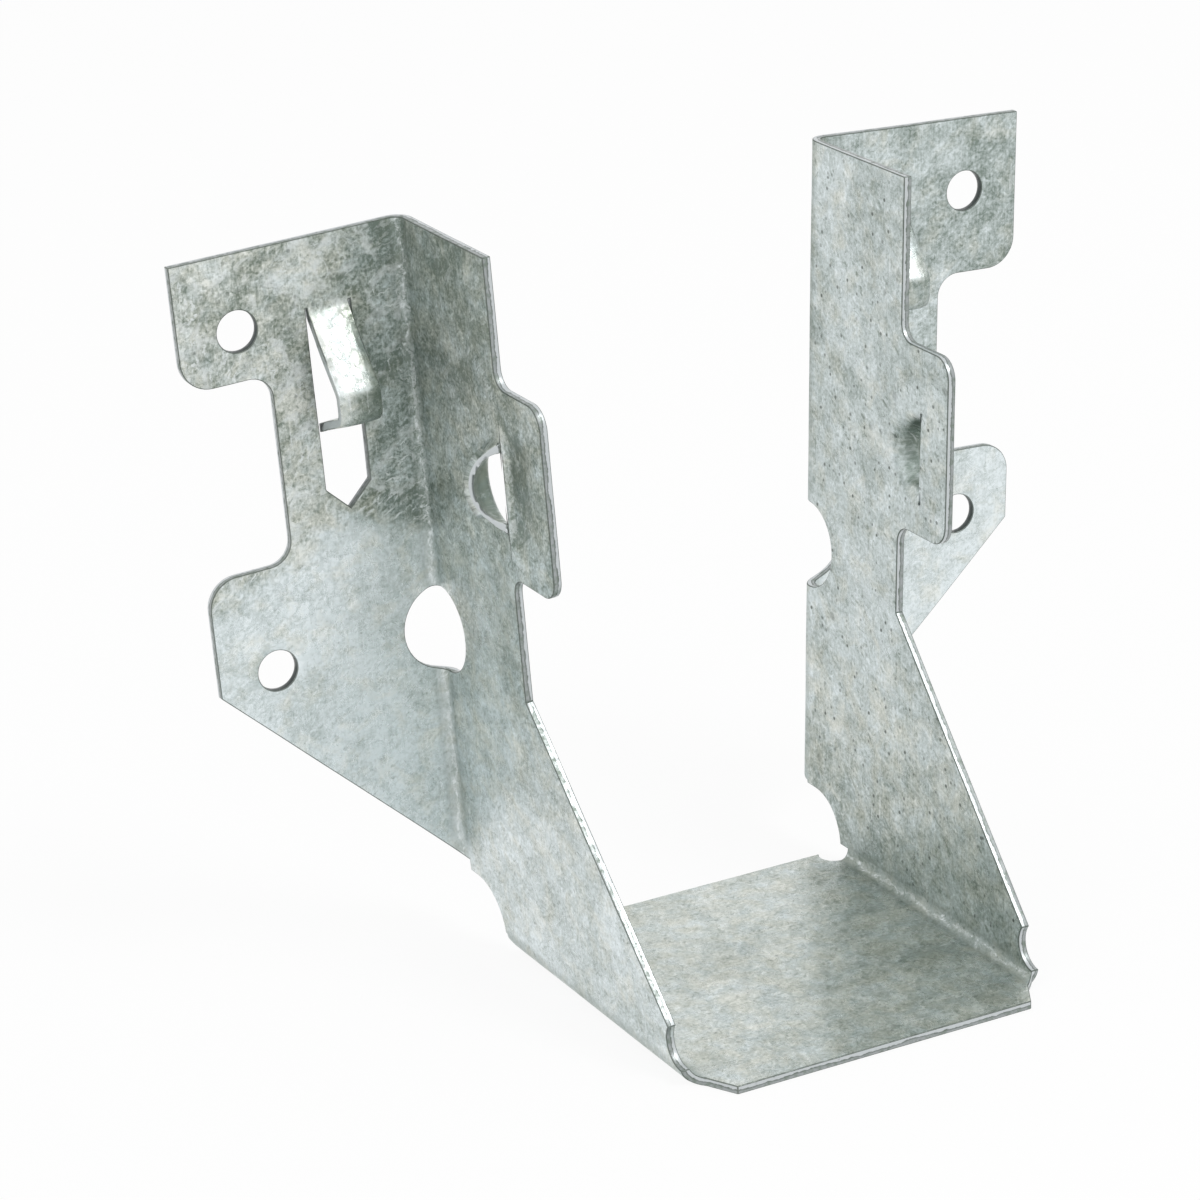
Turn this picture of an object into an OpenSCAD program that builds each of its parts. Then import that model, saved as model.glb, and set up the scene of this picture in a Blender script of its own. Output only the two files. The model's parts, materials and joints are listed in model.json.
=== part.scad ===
// Face-mount joist hanger for one nominal 2x joist, folded from a single galvanised sheet.
// X runs across the hanger, -Y is the side the joist comes from, +Z is up.
// The origin is the centre of the seat's underside. The header face is the plane y = header_y.

/* [Joist and sheet] */
// Clear width between the walls at the seat, mm
joist_gap = 39.7; // [38:0.1:52]
// Height from the seat's underside to the top edge, mm
hanger_h = 78; // [76:0.5:90]
// Length of the seat that carries the joist, mm
seat_len = 42.4; // [36:0.1:48]
// Gap from the header face to the seat's rear edge, mm
seat_setback = 8.4; // [7.5:0.1:9.5]
// Sheet thickness, mm
sheet_t = 0.9; // [0.7:0.1:1.5]
// Inside radius of the four long bends, mm
bend_r = 1.2; // [0.8:0.1:1.8]
// Lean of each wall away from upright, left by the springback of the seat bends, degrees
wall_splay = 2.56; // [0:0.01:4]

/* [Flanges] */
// Width of each flange from the wall's outer face, mm
flange_w = 24.8; // [23:0.1:32]
// Narrow neck of the flange from the wall's outer face, mm
neck_w = 15.4; // [13:0.1:17]
// Height of the lower ear's bottom corner, mm
low_ear_z = 32.5; // [31.5:0.1:33.5]
// Height of the bottom of the flange notch on the right flange, mm
notch_z = 41.2; // [40:0.1:43]
// Height of the flange notch, mm
notch_h = 19.9; // [17:0.1:20]
// How much higher the notch and the wall ear sit on the left side, mm
nest_step = 3.8; // [0:0.1:4]
// Radius of the outer corners of the notch, mm
ear_r = 3.2; // [2:0.1:4]
// Radius of the inner corners of the notch, mm
neck_r = 2.4; // [1:0.1:3]

/* [Nail holes] */
// Diameter of the four header nail holes, mm
nail_d = 4.3; // [3.6:0.1:5.2]
// Distance of the holes from the wall's outer face, mm
nail_x = 18.4; // [18:0.1:19]
// Depth of the upper holes below the top edge, mm
nail_top = 7.9; // [6:0.1:9]
// Height of the lower holes, mm
nail_low_z = 33.9; // [33.5:0.1:35.5]
// Radius of the round hole across each flange bend, mm
bend_hole_r = 4.7; // [3:0.1:5]
// Height of the hole across the bend, mm
bend_hole_z = 33.9; // [30:0.1:36]

/* [Lanced prongs] */
// Width of the slot that each prong leaves, mm
slot_w = 4.9; // [4.5:0.1:5.5]
// Width of the prong, mm
prong_w = 4.5; // [3.5:0.1:4.6]
// Distance of the prong's middle from the wall's outer face, mm
prong_x = 8.5; // [8:0.1:9]
// Depth of the slot's top edge below the hanger's top edge, mm
slot_top = 7.3; // [6:0.1:8.5]
// Length of the slot from its top edge to its point, mm
slot_len = 21.6; // [21:0.1:24]
// Drop from the slot's top edge to the prong's hinge, mm
hinge_drop = 0.5; // [0.5:0.1:1]
// Mid-sheet radius of the prong's bends, mm
prong_r = 1.3; // [0.9:0.1:1.4]
// How far the prong's knuckle stands in front of the header face, mm
knuckle_out = 6.9; // [5:0.1:8]
// Drop from the hinge to the knuckle, mm
knuckle_drop = 7.4; // [7:0.1:9]
// Length of the upright part of the prong below the knuckle, mm
knuckle_leg = 2.7; // [2:0.1:3]
// How far the prong's point reaches behind the header face, mm
point_reach = 1.8; // [0.5:0.1:2.5]
// Drop along the last leg to the point, mm
point_drop = 2.8; // [2:0.1:4]

/* [Walls] */
// Depth of the wall above and below its ear, from the header face, mm
wall_d = 19.5; // [18:0.1:21]
// Depth of the wall at its ear, from the header face, mm
ear_d = 28.5; // [27.5:0.1:31]
// Radius of the ear's outer corners, mm
ear_corner_r = 2.3; // [1:0.1:3]
// Radius of the corners where the ear leaves the wall, mm
ear_root_r = 1.8; // [1:0.1:2]
// Height at which the slanted front edge starts, mm
slant_z = 31.6; // [29:0.1:33]
// Depth of the slanted front edge's lower end, from the header face, mm
slant_d = 50; // [44:0.1:50.5]

/* [Nail domes] */
// Outer radius of the dome that guides the slanted joist nail, mm
dome_r = 4.7; // [4.4:0.05:5.1]
// Height of the dome above the wall's outer face, mm
dome_h = 3.6; // [3.2:0.01:4]
// Radius of the flat crown of the dome, mm
dome_crown = 0.3; // [0.2:0.05:0.8]
// Radius that blends the dome into the wall, mm
dome_blend = 0.6; // [0.5:0.05:1.4]
// Distance of the dome's middle behind the slit that opens its mouth, mm
dome_back = 0.5; // [0.3:0.1:1.2]
// Lean of the dome's mouth back from the slit, degrees
mouth_lean = 45; // [20:1:50]
// Depth of the right dome's slit, from the header face, mm
dome_d_right = 23.5; // [19:0.1:24]
// Height of the right dome above the bottom of its ear, mm
dome_up_right = 8.2; // [7:0.1:11]
// Depth of the left dome's slit, from the header face, mm
dome_d_left = 19.5; // [19:0.1:24]
// Height of the left dome above the bottom of its ear, mm
dome_up_left = 9.4; // [7:0.1:11]

/* [Corner reliefs] */
// Radius of the round cut between the flange bend and the seat bend, mm
rear_cut_r = 5.3; // [4.5:0.1:5.5]
// Radius of the notch at the seat's rear corner, mm
rear_notch_r = 1.65; // [1:0.05:2]
// Radius of the cut at the lower front corner of the wall, mm
front_cut_r = 2.45; // [2:0.05:3]
// Length of the seat's front tab beyond the bends, mm
front_tab = 3.6; // [2:0.1:5]

/* [Hidden] */
$fn = 64;
half_gap = joist_gap / 2;
wall_x = half_gap + sheet_t;
bend_ro = bend_r + sheet_t;
bend_x = half_gap - bend_r;
bend_z = sheet_t + bend_r;
fl_x0 = wall_x + bend_r;
fl_x1 = wall_x + flange_w;
neck_x = wall_x + neck_w;
slant_run = low_ear_z - (fl_x1 - wall_x);
seat_y0 = -(seat_setback + seat_len);
header_y = seat_setback + seat_len / 2;
slot_top_z = hanger_h - slot_top;
slot_tip_z = slot_top_z - slot_len;
slot_x = wall_x + prong_x;
knuckle_z = slot_top_z - hinge_drop - knuckle_drop;
knuckle_reach = knuckle_out - sheet_t;
hinge_turn = atan2(knuckle_reach, knuckle_drop);
point_turn = atan2(knuckle_out - sheet_t / 2 + point_reach, point_drop);
tab_x = half_gap - 2.95;
dome_bends = dome_r - dome_crown + dome_blend;
dome_turn = acos(1 - dome_h / dome_bends);
dome_root = dome_crown + dome_bends * sin(dome_turn);

// 2D square given by two corners.
module area(a, b) {
    translate(a)
        square([b[0] - a[0], b[1] - a[1]]);
}

// 2D material left outside a rounded corner; sx and sy point from the corner to the arc's centre.
module corner(p, r, sx, sy) {
    difference() {
        area([p[0] - (sx < 0 ? r : 0), p[1] - (sy < 0 ? r : 0)],
             [p[0] + (sx > 0 ? r : 0), p[1] + (sy > 0 ? r : 0)]);
        translate([p[0] + sx * r, p[1] + sy * r])
            circle(r);
    }
}

// Prism through the wall: its outline is drawn as depth in front of the header face and height.
module through_wall(x0, x1) {
    translate([x1, 0, 0])
        rotate([0, 0, -90])
            rotate([90, 0, 0])
                linear_extrude(x1 - x0)
                    children();
}

// Prism through the flange: its outline is drawn as x and height.
module through_flange(y0, y1) {
    translate([0, y1, 0])
        rotate([90, 0, 0])
            linear_extrude(y1 - y0)
                children();
}

// Wall, flange bend and flange before they are cut to shape.
module angle_section() {
    translate([0, 0, bend_z])
        linear_extrude(hanger_h - bend_z) {
            area([half_gap, seat_y0 - 5], [wall_x, -bend_ro]);
            area([fl_x0, -sheet_t], [fl_x1, 0]);
            intersection() {
                translate([fl_x0, -bend_ro])
                    difference() {
                        circle(bend_ro);
                        circle(bend_r);
                    }
                area([half_gap - 1, -bend_ro], [fl_x0, 1]);
            }
        }
}

// Notch between the upper and the lower ear of the flange.
module flange_notch(step) {
    z0 = notch_z + step;
    z1 = z0 + notch_h;
    area([neck_x + neck_r, z0], [fl_x1 + 5, z1]);
    area([neck_x, z0 + neck_r], [fl_x1 + 5, z1 - neck_r]);
    translate([neck_x + neck_r, z0 + neck_r])
        circle(neck_r);
    translate([neck_x + neck_r, z1 - neck_r])
        circle(neck_r);
    corner([fl_x1, z1], ear_r, -1, 1);
    corner([fl_x1, z0], ear_r, -1, -1);
}

// Everything that is cut away from the flange.
module flange_cuts(step) {
    flange_notch(step);
    polygon([[fl_x1 + 5, low_ear_z + 5], [wall_x - 3, slant_run - 3], [wall_x - 3, -1], [fl_x1 + 5, -1]]);
    translate([wall_x + nail_x, hanger_h - nail_top])
        circle(d = nail_d);
    translate([wall_x + nail_x, nail_low_z])
        circle(d = nail_d);
    polygon([[slot_x - slot_w / 2, slot_top_z], [slot_x + slot_w / 2, slot_top_z],
             [slot_x + slot_w / 2, slot_tip_z + slot_w / 2], [slot_x, slot_tip_z],
             [slot_x - slot_w / 2, slot_tip_z + slot_w / 2]]);
}

// Front edge of the wall, with its ear and its slanted lower part.
module wall_outline(step) {
    z0 = notch_z + step;
    z1 = z0 + notch_h;
    area([-5, 0], [wall_d, hanger_h + 5]);
    difference() {
        area([wall_d - 1, z0], [ear_d, z1]);
        corner([ear_d, z1], ear_corner_r, -1, -1);
        corner([ear_d, z0], ear_corner_r, -1, 1);
    }
    corner([wall_d, z1], ear_root_r, 1, 1);
    corner([wall_d, z0], ear_root_r, 1, -1);
    polygon([[wall_d - 1, 0], [slant_d, 0], [wall_d, slant_z], [wall_d - 1, slant_z]]);
}

// Round corner cut between the flange bend and the seat bend, and the small one at the front.
module wall_reliefs() {
    translate([rear_cut_r - 1.4, 1.2])
        circle(rear_cut_r);
    area([-5, -5], [rear_cut_r - 1.4, rear_cut_r + 1.2]);
    translate([slant_d - 3.6, front_cut_r + 1.75])
        circle(front_cut_r);
}

// Ring that the section of a bend is taken from.
module ring(r_out, r_in) {
    difference() {
        circle(r_out);
        circle(r_in);
    }
}

// Bend between the seat and the wall, drawn with the wall upright.
module seat_bend() {
    translate([bend_x, 0, bend_z])
        rotate([90, 0, 0])
            linear_extrude(-seat_y0)
                intersection() {
                    ring(bend_ro, bend_r);
                    area([-5, -5], [5, 0]);
                    rotate(wall_splay)
                        area([0, -5], [5, 5]);
                }
}

// Straight piece of a sheet's section, along +x, with what follows it.
module leg(l) {
    translate([0, -sheet_t / 2])
        square([l, sheet_t]);
    translate([l, 0])
        children();
}

// Bend of a sheet's section by a degrees at mid-sheet radius r, with what follows it.
module fold(a, r) {
    s = sign(a);
    translate([0, s * r]) {
        intersection() {
            ring(r + sheet_t / 2, r - sheet_t / 2);
            area([0, -9], [9, 9]);
            rotate(a)
                area([-9, -9], [0, 9]);
        }
        rotate(a)
            translate([0, -s * r])
                children();
    }
}

// Section of the dome from the wall to its crown: outward against the distance from its axis.
module dome_section() {
    intersection() {
        translate([dome_root, sheet_t / 2])
            mirror([1, 0])
                fold(dome_turn, dome_blend + sheet_t / 2)
                    fold(-dome_turn, dome_r - dome_crown - sheet_t / 2)
                        leg(dome_crown + 1);
        area([0, -1], [dome_root, 20]);
    }
}

// Everything behind the slit, and above the wall behind the dome's leaning mouth.
module behind_mouth(d, z) {
    translate([wall_x, -d, z - 10])
        linear_extrude(20)
            polygon([[-3, 0], [0, 0], [9, 9 * tan(mouth_lean)], [9, 20], [-3, 20]]);
}

module dome(d, z) {
    intersection() {
        translate([half_gap, dome_back - d, z])
            rotate([0, 90, 0])
                rotate_extrude()
                    dome_section();
        behind_mouth(d, z);
    }
}

module dome_opening(d, z) {
    intersection() {
        translate([half_gap - 1, dome_back - d, z])
            rotate([0, 90, 0])
                cylinder(r = dome_root, h = sheet_t + 2);
        translate([half_gap - 2, -d, z - 10])
            cube([sheet_t + 4, 20, 20]);
    }
}

// Side view of the prong: its root in the flange, the hinge, the knuckle and the point.
module prong_profile() {
    translate([-sheet_t / 2, slot_top_z + 1])
        rotate(-90)
            leg(1 + hinge_drop - prong_r * tan(hinge_turn / 2))
                fold(-hinge_turn, prong_r)
                    leg(knuckle_reach / sin(hinge_turn) - 2 * prong_r * tan(hinge_turn / 2))
                        fold(hinge_turn, prong_r)
                            leg(knuckle_leg - prong_r * (tan(hinge_turn / 2) + tan(point_turn / 2)))
                                fold(point_turn, prong_r)
                                    leg(point_drop / cos(point_turn) - prong_r * tan(point_turn / 2));
}

// Lanced prong with its pointed end.
module prong() {
    difference() {
        translate([slot_x + prong_w / 2, 0, 0])
            rotate([90, 0, -90])
                linear_extrude(prong_w)
                    mirror([1, 0])
                        prong_profile();
        for (s = [-1, 1])
            translate([slot_x, point_reach, 0])
                linear_extrude(knuckle_z)
                    polygon([[0, 0], [s * (prong_w / 2 + 1), -(prong_w / 2 + 1)], [s * 6, 0], [s * 6, 3], [0, 3]]);
    }
}

// Hole across the flange bend: one cut straight back and one straight sideways.
module bend_hole() {
    through_flange(-bend_ro, 1)
        translate([half_gap + 0.3, bend_hole_z])
            circle(bend_hole_r);
    through_wall(half_gap - 1, wall_x + 1)
        intersection() {
            translate([bend_ro - 0.3, bend_hole_z])
                circle(bend_hole_r);
            area([bend_ro, 0], [20, hanger_h]);
        }
}

// One wall with its flange, dome and prong, leaning out by the splay about the seat bend.
module side(step, dome_d, dome_up) {
    dome_z = notch_z + step + dome_up;
    translate([bend_x, 0, bend_z])
        rotate([0, wall_splay, 0])
            translate([-bend_x, 0, -bend_z]) {
                difference() {
                    union() {
                        intersection() {
                            angle_section();
                            through_wall(0, fl_x1 + 1)
                                wall_outline(step);
                        }
                        seat_bend();
                    }
                    through_flange(-sheet_t - bend_r, 1)
                        flange_cuts(step);
                    through_wall(bend_x - 1, fl_x1 + 1)
                        wall_reliefs();
                    bend_hole();
                    dome_opening(dome_d, dome_z);
                }
                dome(dome_d, dome_z);
                prong();
            }
}

// Plan of the round notch beside each rear corner of the seat.
module rear_trim() {
    for (s = [0, 1])
        mirror([s, 0]) {
            translate([half_gap - 0.95, -(seat_setback + 1)])
                circle(rear_notch_r);
            area([half_gap - 0.95, -(seat_setback + 1)], [half_gap + 3, 1]);
        }
}

// Plan of what is trimmed off the front end of each seat bend, which leaves the seat's front tab.
module front_trim() {
    for (s = [0, 1])
        mirror([s, 0])
            polygon([[tab_x, seat_y0], [bend_x, seat_y0 + front_tab - 0.4],
                     [half_gap, seat_y0 + front_tab + 0.7], [half_gap + 4, seat_y0 + front_tab + 1],
                     [half_gap + 4, seat_y0 - 5], [tab_x, seat_y0 - 5]]);
}

module seat() {
    translate([-bend_x, seat_y0, 0])
        cube([2 * bend_x, seat_len, sheet_t]);
}

module hanger() {
    color("silver")
        translate([0, header_y, 0])
            difference() {
                union() {
                    seat();
                    side(0, dome_d_right, dome_up_right);
                    mirror([1, 0, 0])
                        side(nest_step, dome_d_left, dome_up_left);
                }
                translate([0, 0, -1])
                    linear_extrude(bend_z + 0.7)
                        rear_trim();
                translate([0, 0, -1])
                    linear_extrude(front_cut_r + 2)
                        front_trim();
            }
}

hanger();
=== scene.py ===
import json
import math

import bmesh
import bpy
import numpy as np
from bpy.props import FloatProperty, FloatVectorProperty, PointerProperty
from mathutils import Matrix, Vector
from mathutils.bvhtree import BVHTree


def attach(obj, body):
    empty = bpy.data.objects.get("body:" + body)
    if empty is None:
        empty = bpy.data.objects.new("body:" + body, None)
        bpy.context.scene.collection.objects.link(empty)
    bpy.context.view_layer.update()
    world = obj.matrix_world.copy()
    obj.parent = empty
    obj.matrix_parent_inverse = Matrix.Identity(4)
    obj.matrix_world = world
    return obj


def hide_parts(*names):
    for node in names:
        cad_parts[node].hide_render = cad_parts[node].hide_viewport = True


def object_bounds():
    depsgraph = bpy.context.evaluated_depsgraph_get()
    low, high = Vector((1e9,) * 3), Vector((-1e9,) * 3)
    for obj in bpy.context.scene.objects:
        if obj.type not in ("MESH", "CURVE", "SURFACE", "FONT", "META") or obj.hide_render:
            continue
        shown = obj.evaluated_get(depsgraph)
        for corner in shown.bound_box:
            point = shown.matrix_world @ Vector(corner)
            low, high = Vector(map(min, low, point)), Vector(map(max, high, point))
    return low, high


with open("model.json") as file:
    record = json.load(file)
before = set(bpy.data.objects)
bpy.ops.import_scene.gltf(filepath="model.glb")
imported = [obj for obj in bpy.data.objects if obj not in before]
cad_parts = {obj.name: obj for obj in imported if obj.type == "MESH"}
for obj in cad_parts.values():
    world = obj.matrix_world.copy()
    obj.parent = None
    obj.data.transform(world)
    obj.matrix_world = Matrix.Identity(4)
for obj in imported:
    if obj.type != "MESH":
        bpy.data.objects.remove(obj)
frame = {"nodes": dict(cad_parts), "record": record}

bl_info = {
    "name": "Joist hanger dress",
    "version": (1, 0, 0),
    "blender": (4, 5, 0),
    "location": "View3D > Sidebar > Joist hanger",
    "description": "Dresses the packed joist hanger in galvanised sheet and sets it on a studio floor",
    "category": "Object",
}

CAD_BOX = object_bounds()
MM = 0.001

# Folded sizes of the hanger that the developed blank is worked out from, in metres.
SHEET = 0.9 * MM
BEND_MID = 1.65 * MM
SEAT_BEND_X = 18.65 * MM
SEAT_BEND_Z = 2.1 * MM
FLANGE_BEND_X = 21.95 * MM
FLANGE_BEND_Y = -2.1 * MM
BEND_IN = 1.2 * MM
SPLAY = math.radians(2.56)

# Places on a side before it leans out: distance from the middle, depth before the header face, and height.
WALL_OUT = 20.75 * MM
SLOT_X, SLOT_HALF, SLOT_LOW, SLOT_HIGH = 29.25 * MM, 2.45 * MM, 49.1 * MM, 70.7 * MM
PRONG_HALF = 2.25 * MM
KNUCKLE_Z = 62.8 * MM
DOME_R = 5.3 * MM
LEFT_MOUTH, LEFT_DOME_Z = 19.5 * MM, 54.4 * MM
RIGHT_MOUTH, RIGHT_DOME_Z = 23.5 * MM, 49.4 * MM
DOME_CENTRE_X = 20.3 * MM
DOME_CENTRE_BACK = 0.5 * MM
DOMES_FROM_D = 5 * MM

# Line on the left flange above which the zinc is dull: it peaks beside the slot and falls away to both sides.
DULL_Z, DULL_X, DULL_FALL = 48.4 * MM, 29.3 * MM, 0.45
DULL_BELOW, DULL_ABOVE = 0.9 * MM, 1.1 * MM

# Line on the seat beyond which it is painted darker, a painted reflection of the right wall.
SHADE_SLOPE, SHADE_X, SHADE_HALF = 0.53, 4.6 * MM, 1 * MM

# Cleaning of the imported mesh.
WELD_FIRST, WELD_LAST = 0.002 * MM, 0.045 * MM
FLAT_ANGLE, SHARP_ANGLE = 0.4, 42
SLIVER_HEIGHT = 0.03 * MM
DEGENERATE = 0.0005 * MM
PLANE_DIST = 1e-7
STRIP_SHARE = 0.58

# How the cut edges and the folds are told to the materials, with the painted shade on the slot walls and the weaker
# painted edge shade on the domes.
RIM_DEPTH = 0.15
FOLD_LIMIT, FOLD_NONE = 6.0, 9.0
SLOT_PAINTED_SHADE = 0.65
DOME_EDGE_SHARE = 0.25
BOW_SEED = 3.0
FLOOR_GAP = 0.02 * MM
FLOOR_HALF = 4.0
FLOOR_ALBEDO = 0.95
FLOOR_GLOW = 0.9


# ---------------------------------------------------------------- settings


class HangerSheetSettings(bpy.types.PropertyGroup):
    """Sizes of the folded sheet's finish"""

    edge_round: FloatProperty(
        name="Edge rounding", description="Width of the rounding along every cut edge",
        default=0.1 * MM, min=0.0, max=0.3 * MM, unit="LENGTH", precision=5)
    grid_step: FloatProperty(
        name="Grid step", description="Spacing of the grid that lets the sheet bow",
        default=1.6 * MM, min=0.8 * MM, max=6 * MM, unit="LENGTH", precision=4)
    bow_height: FloatProperty(
        name="Bow height", description="How far the rolled sheet wanders from flat",
        default=0.07 * MM, min=0.0, max=0.3 * MM, unit="LENGTH", precision=5)
    bow_length: FloatProperty(
        name="Bow length", description="Length of one wave of the sheet",
        default=17 * MM, min=5 * MM, max=60 * MM, unit="LENGTH", precision=4)
    ear_sink: FloatProperty(
        name="Ear sink", description="Depth to which the ear is pressed in before the left nail guide",
        default=0.35 * MM, min=0.0, max=1 * MM, unit="LENGTH", precision=4)
    prong_crown: FloatProperty(
        name="Prong crown", description="How far the long sides of each prong roll down",
        default=0.35 * MM, min=0.0, max=0.5 * MM, unit="LENGTH", precision=4)
    dome_thinning: FloatProperty(
        name="Dome thinning", description="Share of the sheet's thickness that drawing the nail guides takes away",
        default=0.5, min=0.0, max=0.6, subtype="FACTOR")


class HangerZincSettings(bpy.types.PropertyGroup):
    """Colours of the galvanised finish"""

    # Also the colour of the painted highlight along the crest of each bend.
    pale: FloatVectorProperty(
        name="Pale zinc", description="Colour of the palest grains",
        subtype="COLOR", size=3, min=0, max=1, default=(0.86, 0.9, 0.905))
    mid: FloatVectorProperty(
        name="Zinc", description="Colour of the plain coating",
        subtype="COLOR", size=3, min=0, max=1, default=(0.56, 0.605, 0.585))
    # Also the colour of the painted shade in the bends.
    dark: FloatVectorProperty(
        name="Dark zinc", description="Colour of the dull, weathered grains",
        subtype="COLOR", size=3, min=0, max=1, default=(0.22, 0.262, 0.228))
    # Also the colour of the painted shade along the cut edges.
    speck_and_edge_shade: FloatVectorProperty(
        name="Specks", description="Colour of the small pits and specks of dirt",
        subtype="COLOR", size=3, min=0, max=1, default=(0.1, 0.12, 0.105))
    warm: FloatVectorProperty(
        name="Warm tint", description="Tint of the yellower patches, multiplied in",
        subtype="COLOR", size=3, min=0, max=1, default=(1.0, 0.975, 0.91))
    cool: FloatVectorProperty(
        name="Cool tint", description="Tint of the bluer patches, multiplied in",
        subtype="COLOR", size=3, min=0, max=1, default=(0.95, 0.985, 1.0))
    cut: FloatVectorProperty(
        name="Cut edge", description="Colour of the burnished band of the sheared edges",
        subtype="COLOR", size=3, min=0, max=1, default=(0.57, 0.605, 0.615))
    cut_torn: FloatVectorProperty(
        name="Torn edge", description="Colour of the torn band of the sheared edges",
        subtype="COLOR", size=3, min=0, max=1, default=(0.37, 0.395, 0.4))
    metal: FloatProperty(
        name="Metallic", description="Share of metal in the coating",
        default=0.8, min=0.0, max=1.0, subtype="FACTOR")


class HangerStageSettings(bpy.types.PropertyGroup):
    """Camera and light"""

    azimuth: FloatProperty(
        name="Azimuth", description="Direction of the camera round the hanger",
        default=math.radians(-27.245), subtype="ANGLE")
    elevation: FloatProperty(
        name="Elevation", description="Height of the camera above the horizon",
        default=math.radians(20.819), subtype="ANGLE")
    roll: FloatProperty(
        name="Roll", description="Turn of the camera about its own axis",
        default=math.radians(2.699), subtype="ANGLE")
    distance: FloatProperty(
        name="Distance", description="Distance from the camera to the point it aims at",
        default=444.54 * MM, unit="LENGTH", precision=5)
    lens: FloatProperty(
        name="Focal length", description="Focal length of the lens",
        default=130.42, min=20, max=300, unit="CAMERA")
    key: FloatProperty(
        name="Key light", description="Power of the soft light above the front", default=2.0, min=0, unit="POWER")
    fill: FloatProperty(
        name="Fill light", description="Power of the soft light on the left", default=0.5, min=0, unit="POWER")
    ambient: FloatProperty(
        name="Ambient", description="Strength of the even light on matt surfaces", default=0.75, min=0, max=2)


# ---------------------------------------------------------------- shader helpers


def add(tree, kind, x=0, y=0, **settings):
    made = tree.nodes.new(kind)
    made.location = (x, y)
    for name, value in settings.items():
        setattr(made, name, value)
    return made


def put(tree, node, **values):
    """Sets a node's inputs by name: a socket is linked, and anything else is a plain value."""
    for name, value in values.items():
        key = int(name[1:]) if name[0] == "_" else name.replace("_", " ")
        if isinstance(value, bpy.types.NodeSocket):
            tree.links.new(value, node.inputs[key])
        else:
            node.inputs[key].default_value = value
    return node


def maths(tree, operation, a, b=None, clamp=False):
    n = add(tree, "ShaderNodeMath", operation=operation, use_clamp=clamp)
    put(tree, n, _0=a)
    if b is not None:
        put(tree, n, _1=b)
    return n.outputs[0]


def span(tree, value, low, high, to_low=0.0, to_high=1.0, smooth=True):
    n = add(tree, "ShaderNodeMapRange", interpolation_type="SMOOTHSTEP" if smooth else "LINEAR")
    put(tree, n, Value=value, From_Min=low, From_Max=high, To_Min=to_low, To_Max=to_high)
    return n.outputs["Result"]


def blend(tree, factor, a, b, kind="MIX"):
    n = add(tree, "ShaderNodeMix", data_type="RGBA", blend_type=kind)
    for key, value in ((0, factor), (6, a), (7, b)):
        if isinstance(value, bpy.types.NodeSocket):
            tree.links.new(value, n.inputs[key])
        else:
            n.inputs[key].default_value = value
    return n.outputs[2]


def colour(value):
    return (*value, 1.0)


def shader_group(name, inputs, outputs):
    """An empty shader node group with named sockets."""
    tree = bpy.data.node_groups.new(name, "ShaderNodeTree")
    for socket, kind, default in inputs:
        made = tree.interface.new_socket(socket, in_out="INPUT", socket_type=kind)
        if default is not None:
            made.default_value = default
    for socket, kind in outputs:
        tree.interface.new_socket(socket, in_out="OUTPUT", socket_type=kind)
    return tree, add(tree, "NodeGroupInput", -900).outputs, add(tree, "NodeGroupOutput", 900).inputs


def use_group(tree, name, **values):
    n = add(tree, "ShaderNodeGroup", node_tree=bpy.data.node_groups[name])
    return put(tree, n, **values).outputs


def noise(tree, vector, scale, detail=3.0, roughness=0.55, distortion=0.0):
    n = add(tree, "ShaderNodeTexNoise")
    put(tree, n, Vector=vector, Scale=scale, Detail=detail, Roughness=roughness, Distortion=distortion)
    return n.outputs["Fac"]


def stretched(tree, vector, across, along):
    """The developed blank's coordinates scaled by different amounts across and along the rolling direction."""
    n = add(tree, "ShaderNodeVectorMath", operation="MULTIPLY")
    put(tree, n, _0=vector, _1=(across, along, across))
    return n.outputs[0]


# ---------------------------------------------------------------- shader groups


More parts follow.
